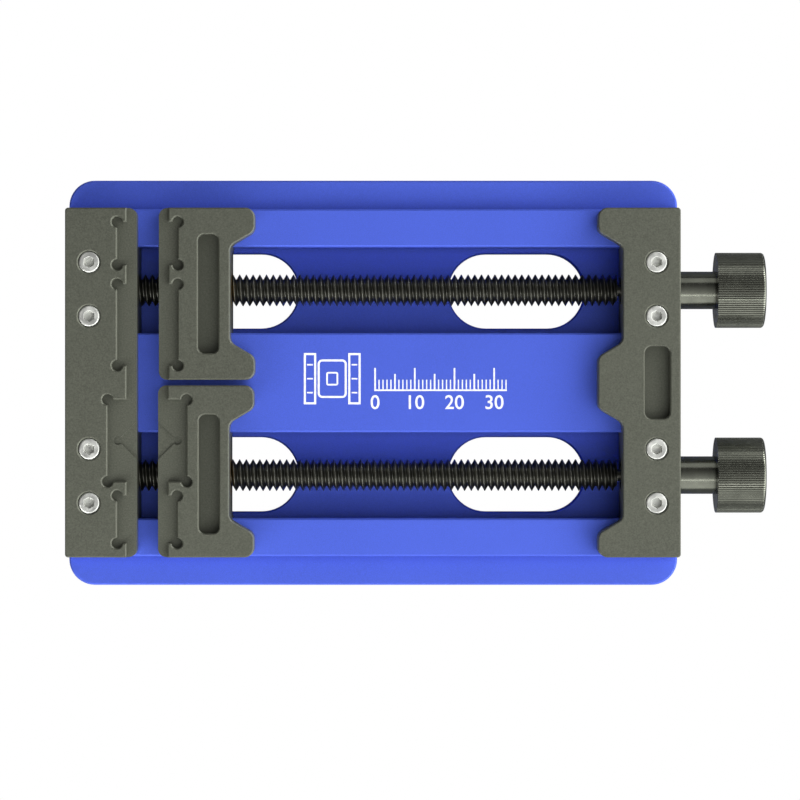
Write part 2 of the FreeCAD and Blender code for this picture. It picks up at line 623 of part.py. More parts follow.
def helical_bar(root, crest, start, length):
    """A bar along X with a single-start right-hand vee thread, in phase with one that starts at 0."""
    pitch = number("sizes.thread_pitch")
    crest_flat, root_flat = number("sizes.crest_flat"), number("sizes.root_flat")
    flank = (pitch - crest_flat - root_flat) / 2
    profile = [(0, root), (root_flat, root), (root_flat + flank, crest),
               (root_flat + flank + crest_flat, crest), (pitch, root)]

    def helix(radius, x):
        coil = Part.makeHelix(pitch, pitch, radius)
        coil.rotate(V(0, 0, 0), V(0, 1, 0), 90)
        coil.translate(V(x, 0, 0))
        return coil.Edges[0]

    def end_faces(x):
        """A helicoid and a flat half section that close the strips down to the axis."""
        ragged = Part.makeRuledSurface(helix(root, x), Part.makeLine(V(x, 0, 0), V(x + pitch, 0, 0)))
        outward = helix(1, x).valueAt(helix(1, x).FirstParameter) - V(x, 0, 0)
        corners = [V(x, 0, 0)] + [V(x + along, 0, 0) + outward * radius for along, radius in profile]
        corners.append(V(x + pitch, 0, 0))
        return [ragged, Part.Face(Part.makePolygon(corners + corners[:1]))]

    first_turn = math.floor(start / pitch) - 1
    last_turn = math.ceil((start + length) / pitch) + 1
    faces = end_faces(first_turn * pitch) + end_faces(last_turn * pitch)
    for turn in range(first_turn, last_turn):
        edges = [helix(radius, turn * pitch + along) for along, radius in profile]
        faces += [Part.makeRuledSurface(one, other) for one, other in zip(edges, edges[1:])]
    skin = Part.makeCompound(faces)
    skin.sewShape()
    screw = Part.makeSolid(skin.Shells[0])
    if screw.Volume < 0:
        screw.reverse()
    return screw.common(rod(4 * crest, start, start + length))


def place_feature(name, shape, x, y, z):
    """A sub-part whose shape is made directly, placed by expressions."""
    feature = doc.addObject("Part::Feature", name)
    feature.Label = name
    feature.Shape = shape
    for axis, place in zip("xyz", (x, y, z)):
        feature.setExpression(f"Placement.Base.{axis}", place)


THREAD_START = f"({LEFT_INNER} + sizes.end_thread_gap)"
THREAD_LENGTH = f"({RIGHT_WALL} - {LEFT_INNER} - sizes.end_thread_gap - sizes.drive_thread_gap)"
CLIP_FACE = f"({RIGHT_WALL} + sizes.clip_bore_depth - sizes.clip_gap)"


def build_lead_screw(name, side):
    """Threaded bar with a journal at each end and a groove for its retaining clip."""
    length = number(THREAD_LENGTH)
    journal = number("sizes.journal_diameter")
    knob_end = number(f"{HUB_X} + sizes.knob_bore_depth - {THREAD_START}")
    groove = [number(f"{CLIP_FACE} - sizes.clip_thickness - sizes.clip_gap - {THREAD_START}"),
              number(f"{CLIP_FACE} + sizes.clip_gap - {THREAD_START}")]
    bar = helical_bar(number("sizes.thread_root / 2"), number("sizes.thread_diameter / 2"), 0, length)
    tail = rod(journal, number("-sizes.end_thread_gap - sizes.end_journal_length"), journal)
    neck = rod(journal, length - journal, knob_end)
    ring = rod(2 * journal, *groove).cut(rod(number("sizes.clip_groove_diameter"), *groove))
    shape = bar.fuse([tail, neck.cut(ring)])
    place_feature(name, shape, THREAD_START, f"{side} * {CHANNEL_Y}", AXIS_Z)


def build_jaw_nut(name, side):
    """Round bronze nut in the jaw's leg, with the screw's thread inside and room around it."""
    start = number(f"{LEFT_INNER} + sizes.{name}_opening + {JAW_BODY} - sizes.nut_length - {THREAD_START}")
    length = number("sizes.nut_length")
    spare = number("sizes.thread_pitch")
    clearance = number("sizes.thread_clearance")
    blank = rod(number("sizes.nut_diameter"), start, start + length)
    tap = helical_bar(number("sizes.thread_root / 2") + clearance,
                      number("sizes.thread_diameter / 2") + clearance, start - spare, length + 2 * spare)
    place_feature(f"{name}_jaw_nut", blank.cut(tap), THREAD_START, f"{side} * {CHANNEL_Y}", AXIS_Z)


def build_clip(name, side):
    """Spring clip in the journal's groove, open on one side."""
    body = new_body(name, x=f"{CLIP_FACE} - sizes.clip_thickness", y=f"{side} * {CHANNEL_Y}", z=AXIS_Z)
    ring = new_sketch(body, "clip_ring", plane="YZ_Plane")
    add_circle(ring, "0", "0", "sizes.clip_diameter")
    add_circle(ring, "0", "0", "sizes.clip_groove_diameter")
    pad(body, ring, "sizes.clip_thickness")
    mouth = new_sketch(body, "clip_opening", plane="YZ_Plane")
    add_rectangle(mouth, "-sizes.clip_mouth / 2", "sizes.clip_mouth / 2", "0", "sizes.clip_diameter")
    pocket(body, mouth, "sizes.clip_thickness", onward=True)


# ---------------------------------------------------------------------------------------- knobs
SET_SCREW_X = "sizes.hub_length / 2"


def build_knob(name, side):
    """Hub and ribbed grip, bored for the journal and drilled from below for a set screw."""
    body = new_body(name, x=HUB_X, y=f"{side} * {CHANNEL_Y}", z=AXIS_Z)
    grip = new_sketch(body, "grip_outline", plane="YZ_Plane", height="sizes.hub_length")
    add_circle(grip, "0", "0", "sizes.grip_diameter")
    pad(body, grip, "sizes.grip_length")
    end = "sizes.hub_length + sizes.grip_length"
    dress(body, "Fillet", "grip_end", lambda p: near(p.x, end), "sizes.grip_round")
    groove = new_sketch(body, "rib_groove", plane="YZ_Plane", height="sizes.hub_length")
    rim = "sizes.grip_diameter / 2"
    half_groove = "pi * sizes.grip_diameter / sizes.rib_count * sizes.rib_groove_share / 2"
    outside = f"{rim} + sizes.rib_groove_overcut"
    add_outline(groove, [(f"-{half_groove}", outside), ("0", f"{rim} - sizes.rib_depth"),
                         (half_groove, outside)])
    cut = pocket(body, groove, "sizes.grip_length", onward=True)
    ring = body.newObject("PartDesign::PolarPattern", "ribs")
    ring.Originals = [cut]
    ring.Axis = (origin_part(body, "X_Axis"), [""])
    ring.Angle = 360
    ring.setExpression("Occurrences", "sizes.rib_count")
    body.Tip = ring
    doc.recompute()
    hub = new_sketch(body, "hub_outline", plane="YZ_Plane")
    add_circle(hub, "0", "0", "sizes.hub_diameter")
    pad(body, hub, "sizes.hub_length")
    bore = new_sketch(body, "journal_bore", plane="YZ_Plane")
    add_circle(bore, "0", "0", "sizes.journal_diameter")
    pocket(body, bore, "sizes.knob_bore_depth", onward=True)
    hole = new_sketch(body, "set_screw_hole", plane="XY_Plane")
    add_circle(hole, SET_SCREW_X, "0", "sizes.set_screw_diameter")
    pocket(body, hole, "sizes.hub_diameter")


def build_set_screw(name, side):
    """Socket set screw in the underside of the hub, its point on the journal."""
    body = new_body(name, x=HUB_X, y=f"{side} * {CHANNEL_Y}", z=AXIS_Z)
    top = "sizes.hub_diameter / 2 - sizes.set_screw_recess"
    shank = new_sketch(body, "set_shank", height=f"-({top})")
    add_circle(shank, SET_SCREW_X, "0", "sizes.set_screw_diameter")
    pad(body, shank, f"{top} - sizes.journal_diameter / 2")
    socket = new_sketch(body, "set_socket", height=f"-({top})")
    add_hexagon(socket, SET_SCREW_X, "0", "sizes.set_screw_socket")
    pocket(body, socket, "sizes.set_screw_socket", onward=True)


# ---------------------------------------------------------------------------------- whole object
def build_all():
    """Every sub-part, in place."""
    build_base_plate()
    build_feet()
    build_left_block()
    build_right_block()
    inset = "(sizes.base_length / 2 - sizes.screw_inset)"
    build_cap_screws("left_block_screws", f"-{inset}")
    build_cap_screws("right_block_screws", inset)
    for name, side in SIDES.items():
        build_bush(f"{name}_end_bush", f"{LEFT_INNER} - sizes.end_bush_length", side, "sizes.end_bush_length")
        build_bush(f"{name}_drive_bush", f"{RIGHT_WALL} + sizes.clip_bore_depth", side,
                   f"sizes.base_length / 2 - {RIGHT_WALL} - sizes.clip_bore_depth")
        build_lead_screw(f"{name}_lead_screw", side)
        build_clip(f"{name}_retaining_clip", side)
        build_knob(f"{name}_knob", side)
        build_set_screw(f"{name}_set_screw", side)
        build_jaw(name, side)
        build_jaw_nut(name, side)
    doc.recompute()


def sub_parts():
    """The sub-parts, which are the bodies and the directly shaped features."""
    return [item for item in doc.Objects
            if item.TypeId in ("PartDesign::Body", "Part::Feature")]


def check_all():
    """Stop if any object failed or any sub-part has no sound shape."""
    for item in doc.Objects:
        if "Invalid" in item.State or "Error" in item.State:
            raise RuntimeError(f"{item.Label} failed: {item.State}")
    for item in sub_parts():
        if item.Shape.isNull() or not item.Shape.isValid() or item.Shape.Volume <= 0:
            raise RuntimeError(f"{item.Label} has no sound shape")


def write_all():
    """One STEP file for each sub-part, named after it."""
    os.makedirs("parts", exist_ok=True)
    for item in sub_parts():
        item.Shape.exportStep(f"parts/{item.Label}.step")


build_all()
check_all()
write_all()
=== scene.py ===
import math

import bmesh
import bpy
from bpy.props import FloatProperty, FloatVectorProperty, IntProperty, PointerProperty
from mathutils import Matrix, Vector


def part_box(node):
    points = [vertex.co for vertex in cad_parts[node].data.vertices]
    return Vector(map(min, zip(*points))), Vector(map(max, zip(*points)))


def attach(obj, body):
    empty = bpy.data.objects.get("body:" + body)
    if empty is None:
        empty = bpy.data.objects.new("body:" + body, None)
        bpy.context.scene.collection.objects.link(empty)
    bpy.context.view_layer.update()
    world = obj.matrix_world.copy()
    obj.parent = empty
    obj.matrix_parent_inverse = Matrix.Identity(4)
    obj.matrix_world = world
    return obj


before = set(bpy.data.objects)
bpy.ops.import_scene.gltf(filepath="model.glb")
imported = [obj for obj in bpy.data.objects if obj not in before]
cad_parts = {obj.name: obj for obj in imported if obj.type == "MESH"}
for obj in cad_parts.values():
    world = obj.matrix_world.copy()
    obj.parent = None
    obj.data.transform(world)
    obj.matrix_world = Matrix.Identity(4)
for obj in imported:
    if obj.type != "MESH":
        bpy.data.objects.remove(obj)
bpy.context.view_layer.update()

bl_info = {
    "name": "Circuit Board Vise",
    "version": (1, 0, 0),
    "blender": (4, 5, 0),
    "location": "3D View > Sidebar > Board Vise",
    "description": "Finishes, printed scale and studio for a two-jaw circuit board vise",
    "category": "Object",
}

SIDES = ("rear", "front")
MM = 0.001
WHITE = (1.0, 1.0, 1.0, 1.0)


# ------------------------------------------------------------------------------------ settings
def colour(name, description, default):
    """A colour property."""
    return FloatVectorProperty(name=name, description=description, default=default, subtype="COLOR",
                               size=3, min=0.0, max=1.0)


def length(name, description, default):
    """A length property, in metres."""
    return FloatProperty(name=name, description=description, default=default, unit="LENGTH", precision=5)


def share(name, description, default):
    """A plain factor from 0 to 1."""
    return FloatProperty(name=name, description=description, default=default, min=0.0, max=1.0,
                         subtype="FACTOR")


class VisePlateSettings(bpy.types.PropertyGroup):
    """Blue anodised base plate."""
    dye: colour("Dye", "Colour of the anodised plate", (0.080, 0.138, 0.72))
    gloss_loss: share("Roughness", "Roughness of the blasted and anodised surface", 0.40)
    edge_radius: length("Edge Radius", "How far the broken edges look rounded", 0.00006)


class ViseBlockSettings(bpy.types.PropertyGroup):
    """Dark grey anodised blocks and jaws."""
    dye: colour("Dye", "Colour of the anodised blocks and jaws", (0.095, 0.100, 0.078))
    gloss_loss: share("Roughness", "Roughness of the blasted and anodised surface", 0.42)
    edge_radius: length("Edge Radius", "How far the broken edges look rounded", 0.00003)


class ViseDriveSettings(bpy.types.PropertyGroup):
    """Lead screws and knobs."""
    screw_dye: colour("Black Oxide", "Colour of the lead screws", (0.135, 0.135, 0.118))
    screw_gloss_loss: share("Screw Roughness", "Roughness of the lead screws", 0.34)
    knob_dye: colour("Knob Dye", "Colour of the anodised knobs", (0.192, 0.200, 0.165))
    knob_gloss_loss: share("Knob Roughness", "Roughness of the turned knobs", 0.20)


class ViseFastenerSettings(bpy.types.PropertyGroup):
    """Cap screws, set screws, clips, bushes, nuts and feet."""
    zinc: colour("Zinc", "Colour of the cap screws", (0.72, 0.73, 0.69))
    zinc_gloss_loss: share("Zinc Roughness", "Roughness of the cap screws", 0.46)
    set_screw: colour("Set Screw", "Colour of the set screws", (0.05, 0.05, 0.05))
    bronze: colour("Bronze", "Colour of the bushes and jaw nuts", (0.52, 0.34, 0.13))
    fitting_gloss_loss: share("Fitting Roughness", "Roughness of set screws, bushes and nuts", 0.30)
    rubber: colour("Rubber", "Colour of the feet", (0.022, 0.022, 0.024))


class ViseScaleSettings(bpy.types.PropertyGroup):
    """Printed scale on the deck between the channels."""
    ink: colour("Ink", "Colour of the print", (0.86, 0.88, 0.93))
    ink_height: length("Ink Height", "How far the print stands above the deck", 0.00003)
    stroke: length("Stroke", "Width of a printed line", 0.00042)
    zero_x: length("Zero", "Where the scale's zero is along X", 0.0005)
    millimetres: IntProperty(name="Millimetres", description="Length of the printed scale", default=33)
    numeral_height: length("Numeral Height", "Height of the printed numerals", 0.0036)


class ViseStudioSettings(bpy.types.PropertyGroup):
    """Floor, lights and camera."""
    camera_height: length("Camera Height", "Camera above the bench", 0.8985)
    camera_x: length("Camera X", "Camera along X from the plate's middle", 0.00678)
    camera_y: length("Camera Y", "Camera along Y from the plate's middle", -0.00437)
    lens: FloatProperty(name="Lens", description="Focal length in millimetres", default=157.5)
    floor_size: length("Floor Size", "Width of the pale floor", 6.0)
    dome: FloatProperty(name="Dome", description="Strength of the soft surround", default=0.86)
    key: FloatProperty(name="Key", description="Power shared out to the softboxes, in watts", default=4.0)


SETTINGS = {
    "vise_plate": VisePlateSettings,
    "vise_blocks": ViseBlockSettings,
    "vise_drive": ViseDriveSettings,
    "vise_fasteners": ViseFastenerSettings,
    "vise_scale": ViseScaleSettings,
    "vise_studio": ViseStudioSettings,
}


# -------------------------------------------------------------------------------- shader helpers
def add_node(tree, kind, values=None, **fields):
    """A shader node with its fields and the values of its named sockets set."""
    node = tree.nodes.new(kind)
    for field, value in fields.items():
        setattr(node, field, value)
    for socket, value in (values or {}).items():
        node.inputs[socket].default_value = value
    return node


def join(tree, *pairs):
    """Link (from socket, to socket) pairs."""
    for source, target in pairs:
        tree.links.new(source, target)


def new_group(name, inputs, outputs):
    """A shader node group with named sockets, and its input and output nodes."""
    tree = bpy.data.node_groups.new(name, "ShaderNodeTree")
    for label, kind, default in inputs:
        socket = tree.interface.new_socket(label, in_out="INPUT", socket_type=kind)
        socket.default_value = default
    for label, kind in outputs:
        tree.interface.new_socket(label, in_out="OUTPUT", socket_type=kind)
    return tree, tree.nodes.new("NodeGroupInput"), tree.nodes.new("NodeGroupOutput")


def edge_wear_group():
    """Rounded shading along hard edges, and a broken-up mask of edges to paint lighter, partly as rubbed wear
    and partly as a painted highlight.
    """
    tree, given, result = new_group(
        "rubbed_edges",
        [("Radius", "NodeSocketFloat", 0.0002), ("Breakup Scale", "NodeSocketFloat", 900.0)],
        [("Normal", "NodeSocketVector"), ("Edge", "NodeSocketFloat")])
    rounding = add_node(tree, "ShaderNodeBevel", samples=6)
    geometry = add_node(tree, "ShaderNodeNewGeometry")
    dot = add_node(tree, "ShaderNodeVectorMath", operation="DOT_PRODUCT")
    lean = add_node(tree, "ShaderNodeMapRange", {"From Min": 0.995, "From Max": 0.80})
    place = add_node(tree, "ShaderNodeTexCoord")
    noise = add_node(tree, "ShaderNodeTexNoise", {"Detail": 4.0, "Roughness": 0.6})
    patches = add_node(tree, "ShaderNodeMapRange", {"From Min": 0.35, "From Max": 0.62, "To Min": 0.35})
    edges_worn_and_highlit = add_node(tree, "ShaderNodeMath", operation="MULTIPLY")
    join(tree,
         (given.outputs["Radius"], rounding.inputs["Radius"]),
         (rounding.outputs["Normal"], dot.inputs[0]),
         (geometry.outputs["True Normal"], dot.inputs[1]),
         (dot.outputs["Value"], lean.inputs["Value"]),
         (place.outputs["Object"], noise.inputs["Vector"]),
         (given.outputs["Breakup Scale"], noise.inputs["Scale"]),
         (noise.outputs["Fac"], patches.inputs["Value"]),
         (lean.outputs["Result"], edges_worn_and_highlit.inputs[0]),
         (patches.outputs["Result"], edges_worn_and_highlit.inputs[1]),
         (rounding.outputs["Normal"], result.inputs["Normal"]),
         (edges_worn_and_highlit.outputs["Value"], result.inputs["Edge"]))
    return tree


def blasted_grain_group():
    """The fine pitted grain of a bead-blasted surface, with slow clouds of tone over it."""
    tree, given, result = new_group(
        "blasted_grain",
        [("Grain Scale", "NodeSocketFloat", 5200.0), ("Cloud Scale", "NodeSocketFloat", 38.0)],
        [("Height", "NodeSocketFloat"), ("Grain", "NodeSocketFloat"), ("Cloud", "NodeSocketFloat")])
    place = add_node(tree, "ShaderNodeTexCoord")
    fine = add_node(tree, "ShaderNodeTexNoise", {"Detail": 3.0, "Roughness": 0.65})
    pits = add_node(tree, "ShaderNodeTexVoronoi", {"Randomness": 1.0}, feature="SMOOTH_F1")
    cloud = add_node(tree, "ShaderNodeTexNoise", {"Detail": 2.0, "Roughness": 0.5})
    height = add_node(tree, "ShaderNodeMath", operation="ADD")
    join(tree,
         (place.outputs["Object"], fine.inputs["Vector"]),
         (place.outputs["Object"], pits.inputs["Vector"]),
         (place.outputs["Object"], cloud.inputs["Vector"]),
         (given.outputs["Grain Scale"], fine.inputs["Scale"]),
         (given.outputs["Grain Scale"], pits.inputs["Scale"]),
         (given.outputs["Cloud Scale"], cloud.inputs["Scale"]),
         (fine.outputs["Fac"], height.inputs[0]),
         (pits.outputs["Distance"], height.inputs[1]),
         (height.outputs["Value"], result.inputs["Height"]),
         (fine.outputs["Fac"], result.inputs["Grain"]),
         (cloud.outputs["Fac"], result.inputs["Cloud"]))
    return tree


def turned_marks_group():
    """Fine rings left by turning a bar that lies along X."""
    tree, given, result = new_group(
        "turned_marks",
        [("Ring Scale", "NodeSocketFloat", 7000.0)],
        [("Height", "NodeSocketFloat"), ("Tone", "NodeSocketFloat")])
    place = add_node(tree, "ShaderNodeTexCoord")
    squeeze = add_node(tree, "ShaderNodeMapping", {"Scale": (1.0, 0.03, 0.03)})
    rings = add_node(tree, "ShaderNodeTexNoise", {"Detail": 3.0, "Roughness": 0.7})
    soft = add_node(tree, "ShaderNodeTexNoise", {"Scale": 240.0, "Detail": 2.0})
    join(tree,
         (place.outputs["Object"], squeeze.inputs["Vector"]),
         (squeeze.outputs["Vector"], rings.inputs["Vector"]),
         (given.outputs["Ring Scale"], rings.inputs["Scale"]),
         (place.outputs["Object"], soft.inputs["Vector"]),
         (rings.outputs["Fac"], result.inputs["Height"]),
         (soft.outputs["Fac"], result.inputs["Tone"]))
    return tree


def sheltered_group():
    """A mask of how open each part of a piece is, used to paint shade into its hollows: 1 on its outer faces,
    less in its own hollows.
    """
    tree, given, result = new_group(
        "sheltered_hollows",
        [("Reach", "NodeSocketFloat", 0.014), ("Clear", "NodeSocketFloat", 0.66)],
        [("Open", "NodeSocketFloat")])
    openness = add_node(tree, "ShaderNodeAmbientOcclusion", samples=8, only_local=True)
    lift = add_node(tree, "ShaderNodeMapRange", {"From Min": 0.28})
    join(tree,
         (given.outputs["Reach"], openness.inputs["Distance"]),
         (openness.outputs["AO"], lift.inputs["Value"]),
         (given.outputs["Clear"], lift.inputs["From Max"]),
         (lift.outputs["Result"], result.inputs["Open"]))
    return tree


EFFECTS = {}


def effect(tree, name, **values):
    """One of the shared effects, placed in a material with its own values."""
    makers = {"rubbed_edges": edge_wear_group, "blasted_grain": blasted_grain_group,
              "turned_marks": turned_marks_group, "sheltered_hollows": sheltered_group}
    if name not in EFFECTS:
        EFFECTS[name] = makers[name]()
    node = tree.nodes.new("ShaderNodeGroup")
    node.node_tree = EFFECTS[name]
    for socket, value in values.items():
        node.inputs[socket.replace("_", " ").title()].default_value = value
    return node


def new_material(name, metallic, viewport):
    """An empty node material with a Principled shader wired to its output."""
    material = bpy.data.materials.new(name)
    material.use_nodes = True
    material.diffuse_color = (*viewport, 1.0)
    tree = material.node_tree
    tree.nodes.clear()
    shader = add_node(tree, "ShaderNodeBsdfPrincipled", {"Metallic": metallic})
    output = tree.nodes.new("ShaderNodeOutputMaterial")
    join(tree, (shader.outputs["BSDF"], output.inputs["Surface"]))
    return material, tree, shader


def blend_colours(tree, mask, low, high, target=None):
    """A mix of two colours by a mask, fed to a socket if one is given."""
    mix = add_node(tree, "ShaderNodeMix", data_type="RGBA")
    for socket, value in (("A", low), ("B", high)):
        found = next(item for item in mix.inputs if item.name == socket and item.type == "RGBA")
        if isinstance(value, bpy.types.NodeSocket):
            tree.links.new(value, found)
        else:
            found.default_value = (*value, 1.0)
    tree.links.new(mask, mix.inputs["Factor"])
    result = next(item for item in mix.outputs if item.type == "RGBA")
    if target is not None:
        tree.links.new(result, target)
    return result


def ramp(tree, mask, low, high, target=None, start=0.0, stop=1.0):
    """A mask stretched to run from low to high, fed to a socket if one is given."""
    node = add_node(tree, "ShaderNodeMapRange",
                    {"From Min": start, "From Max": stop, "To Min": low, "To Max": high})
    tree.links.new(mask, node.inputs["Value"])
    if target is not None:
        tree.links.new(node.outputs["Result"], target)
    return node.outputs["Result"]


def tinted(dye, factor):
    """A colour made lighter or darker."""
    return tuple(min(1.0, part * factor) for part in dye)


def vary_tone(tree, mask, dye, dark, light, spread, target=None):
    """A dye that drifts between two tones of itself along a noise."""
    drift = ramp(tree, mask, 0.0, 1.0, **spread)
    return blend_colours(tree, drift, tinted(dye, dark), tinted(dye, light), target)


def rub_edges(tree, edges, under, worn_highlit_colour, amount, target=None):
    """A lighter colour over another one along edges, partly rubbed wear and partly a painted highlight."""
    return blend_colours(tree, ramp(tree, edges.outputs["Edge"], 0.0, amount), under, worn_highlit_colour, target)


def vary_gloss(tree, shader, mask, gloss_loss, less, more, spread):
    """Roughness that wanders a little along a noise."""
    ramp(tree, mask, gloss_loss - less, gloss_loss + more, shader.inputs["Roughness"], **spread)


def add_relief(tree, shader, height, strength, depth_mm, normal=None):
    """Fine relief on a material, laid over its rounded edges if their normal is given."""
    bump = add_node(tree, "ShaderNodeBump", {"Strength": strength, "Distance": depth_mm * MM})
    join(tree, (height, bump.inputs["Height"]), (bump.outputs["Normal"], shader.inputs["Normal"]))
    if normal is not None:
        join(tree, (normal, bump.inputs["Normal"]))


def show_to_camera(tree, lighting, seen, surface):
    """One shader for light and reflections, and another one where the camera looks at it."""
    ray = add_node(tree, "ShaderNodeLightPath")
    mix = add_node(tree, "ShaderNodeMixShader")
    join(tree,
         (ray.outputs["Is Camera Ray"], mix.inputs["Fac"]),
         (lighting, mix.inputs[1]),
         (seen, mix.inputs[2]),
         (mix.outputs["Shader"], surface))


# ------------------------------------------------------------------------------------- finishes
# The part of a noise that a ramp stretches to its full range: the narrower, the harder the patches.
WIDE = {"start": 0.3, "stop": 0.7}
NARROW = {"start": 0.35, "stop": 0.65}
GRAINY = {"start": 0.35, "stop": 0.7}
DUSTY = {"start": 0.3, "stop": 0.75}
THIN_PRINT = {"start": 0.3, "stop": 0.62}
OXIDE_METALLIC = 0.55       # an oxide film over aluminium counts as partly metallic
HOLLOW_SHADE_REACH = 14 * MM      # how far walls reach when shade is painted on a floor
GROOVE_SHADE_REACH = 0.6 * MM     # how far a rib or a thread reaches when shade is painted in its groove
GROOVE_SHADE_CLEAR = 0.92         # how open a turned face is where it counts as fully open and gets no painted shade


def anodised_material(name, dye, gloss_loss, edge_radius, grain_scale, painted_hollow_tone, speckle):
    """Bead-blasted aluminium under a coloured oxide, lighter along its broken edges, partly as rubbed wear
    and partly as a painted highlight, with painted shade in its own hollows.
    """
    material, tree, shader = new_material(name, OXIDE_METALLIC, dye)
    edges = effect(tree, "rubbed_edges", radius=edge_radius, breakup_scale=700.0)
    grain = effect(tree, "blasted_grain", grain_scale=grain_scale, cloud_scale=30.0)
    shade_in_hollows = effect(tree, "sheltered_hollows", reach=HOLLOW_SHADE_REACH)
    clouded = vary_tone(tree, grain.outputs["Cloud"], dye, dark=0.95, light=1.05, spread=WIDE)
    speckled = blend_colours(tree, ramp(tree, grain.outputs["Grain"], 0.0, 0.8, **GRAINY),
                             clouded, tinted(dye, speckle))
    # Edges painted lighter than the dye: partly rubbed wear, partly a painted highlight.
    edges_worn_and_highlit = rub_edges(tree, edges, speckled, worn_highlit_colour=tinted(dye, 1.7), amount=0.55)
    # Painted shade: the dye darkened in the piece's own hollows.
    blend_colours(tree, shade_in_hollows.outputs["Open"], tinted(dye, painted_hollow_tone), edges_worn_and_highlit,
                  shader.inputs["Base Color"])
    vary_gloss(tree, shader, grain.outputs["Grain"], gloss_loss, less=0.04, more=0.05, spread=WIDE)
    add_relief(tree, shader, grain.outputs["Height"], 0.35, 0.012, edges.outputs["Normal"])
    return material


def turned_material(name, dye, gloss_loss, ring_scale=7000.0, depth_mm=0.006, wear_and_highlight=0.5, painted_groove_tone=1.0):
    """Turned metal with fine rings, lighter along its edges, partly as rubbed wear and partly as a painted
    highlight, with painted shade in its grooves.
    """
    material, tree, shader = new_material(name, 1.0, dye)
    edges = effect(tree, "rubbed_edges", radius=0.08 * MM, breakup_scale=1500.0)
    marks = effect(tree, "turned_marks", ring_scale=ring_scale)
    shade_in_grooves = effect(tree, "sheltered_hollows", reach=GROOVE_SHADE_REACH, clear=GROOVE_SHADE_CLEAR)
    toned = vary_tone(tree, marks.outputs["Tone"], dye, dark=0.88, light=1.12, spread=WIDE)
    # Edges painted lighter than the dye: partly rubbed wear, partly a painted highlight.
    edges_worn_and_highlit = rub_edges(tree, edges, toned, worn_highlit_colour=tinted(dye, 2.4), amount=wear_and_highlight)
    # Painted shade: the dye darkened in the piece's own grooves.
    blend_colours(tree, shade_in_grooves.outputs["Open"], tinted(dye, painted_groove_tone), edges_worn_and_highlit,
                  shader.inputs["Base Color"])
    vary_gloss(tree, shader, marks.outputs["Height"], gloss_loss, less=0.05, more=0.07, spread=WIDE)
    add_relief(tree, shader, marks.outputs["Height"], 0.3, depth_mm, edges.outputs["Normal"])
    return material


def zinc_material(name, dye, gloss_loss):
    """Bright plated steel with faint mottling, lighter along its edges, partly as rubbed wear and partly as a
    painted highlight.
    """
    material, tree, shader = new_material(name, 1.0, dye)
    edges = effect(tree, "rubbed_edges", radius=0.2 * MM, breakup_scale=1200.0)
    grain = effect(tree, "blasted_grain", grain_scale=3800.0, cloud_scale=420.0)
    toned = vary_tone(tree, grain.outputs["Cloud"], dye, dark=0.86, light=1.08, spread=NARROW)
    # Edges painted lighter than the plating: partly rubbed wear, partly a painted highlight.
    rub_edges(tree, edges, toned, worn_highlit_colour=tinted(dye, 1.35), amount=0.7, target=shader.inputs["Base Color"])
    vary_gloss(tree, shader, grain.outputs["Cloud"], gloss_loss, less=0.06, more=0.08, spread=NARROW)
    add_relief(tree, shader, grain.outputs["Height"], 0.2, 0.006, edges.outputs["Normal"])
    return material


def rubber_material(name, dye):
    """Matt moulded rubber with a fine dusty grain."""
    material, tree, shader = new_material(name, 0.0, dye)
    grain = effect(tree, "blasted_grain", grain_scale=3000.0, cloud_scale=200.0)
    vary_tone(tree, grain.outputs["Grain"], dye, dark=1.0, light=2.0, spread=DUSTY,
              target=shader.inputs["Base Color"])
    vary_gloss(tree, shader, grain.outputs["Cloud"], 0.8, less=0.1, more=0.1, spread=WIDE)
    shader.inputs["Specular IOR Level"].default_value = 0.35
    add_relief(tree, shader, grain.outputs["Height"], 0.4, 0.02)
    return material


def ink_material(name, dye):
    """White print, slightly thin in places."""
    material, tree, shader = new_material(name, 0.0, dye)
    grain = effect(tree, "blasted_grain", grain_scale=2600.0, cloud_scale=900.0)
    vary_tone(tree, grain.outputs["Cloud"], dye, dark=0.82, light=1.0, spread=THIN_PRINT,
              target=shader.inputs["Base Color"])
    vary_gloss(tree, shader, grain.outputs["Grain"], 0.45, less=0.0, more=0.17, spread=WIDE)
    add_relief(tree, shader, grain.outputs["Height"], 0.25, 0.01)
    return material


def smoothing_tree():
    """A geometry node tree that shades smooth wherever two faces meet at less than an angle."""
    tree = bpy.data.node_groups.new("smooth_by_angle", "GeometryNodeTree")
    tree.interface.new_socket("Geometry", in_out="INPUT", socket_type="NodeSocketGeometry")
    angle = tree.interface.new_socket("Angle", in_out="INPUT", socket_type="NodeSocketFloat")
    tree.interface.new_socket("Geometry", in_out="OUTPUT", socket_type="NodeSocketGeometry")
    given, result = tree.nodes.new("NodeGroupInput"), tree.nodes.new("NodeGroupOutput")
    edge = tree.nodes.new("GeometryNodeInputMeshEdgeAngle")
    gentle = add_node(tree, "FunctionNodeCompare", operation="LESS_EQUAL")
    faces = add_node(tree, "GeometryNodeSetShadeSmooth", domain="FACE")
    edges = add_node(tree, "GeometryNodeSetShadeSmooth", domain="EDGE")
    join(tree,
         (edge.outputs["Unsigned Angle"], gentle.inputs["A"]),
         (given.outputs["Angle"], gentle.inputs["B"]),
         (given.outputs["Geometry"], faces.inputs["Geometry"]),
         (faces.outputs["Geometry"], edges.inputs["Geometry"]),
         (gentle.outputs["Result"], edges.inputs["Shade Smooth"]),
         (edges.outputs["Geometry"], result.inputs["Geometry"]))
    return tree, angle.identifier


SMOOTHING = []


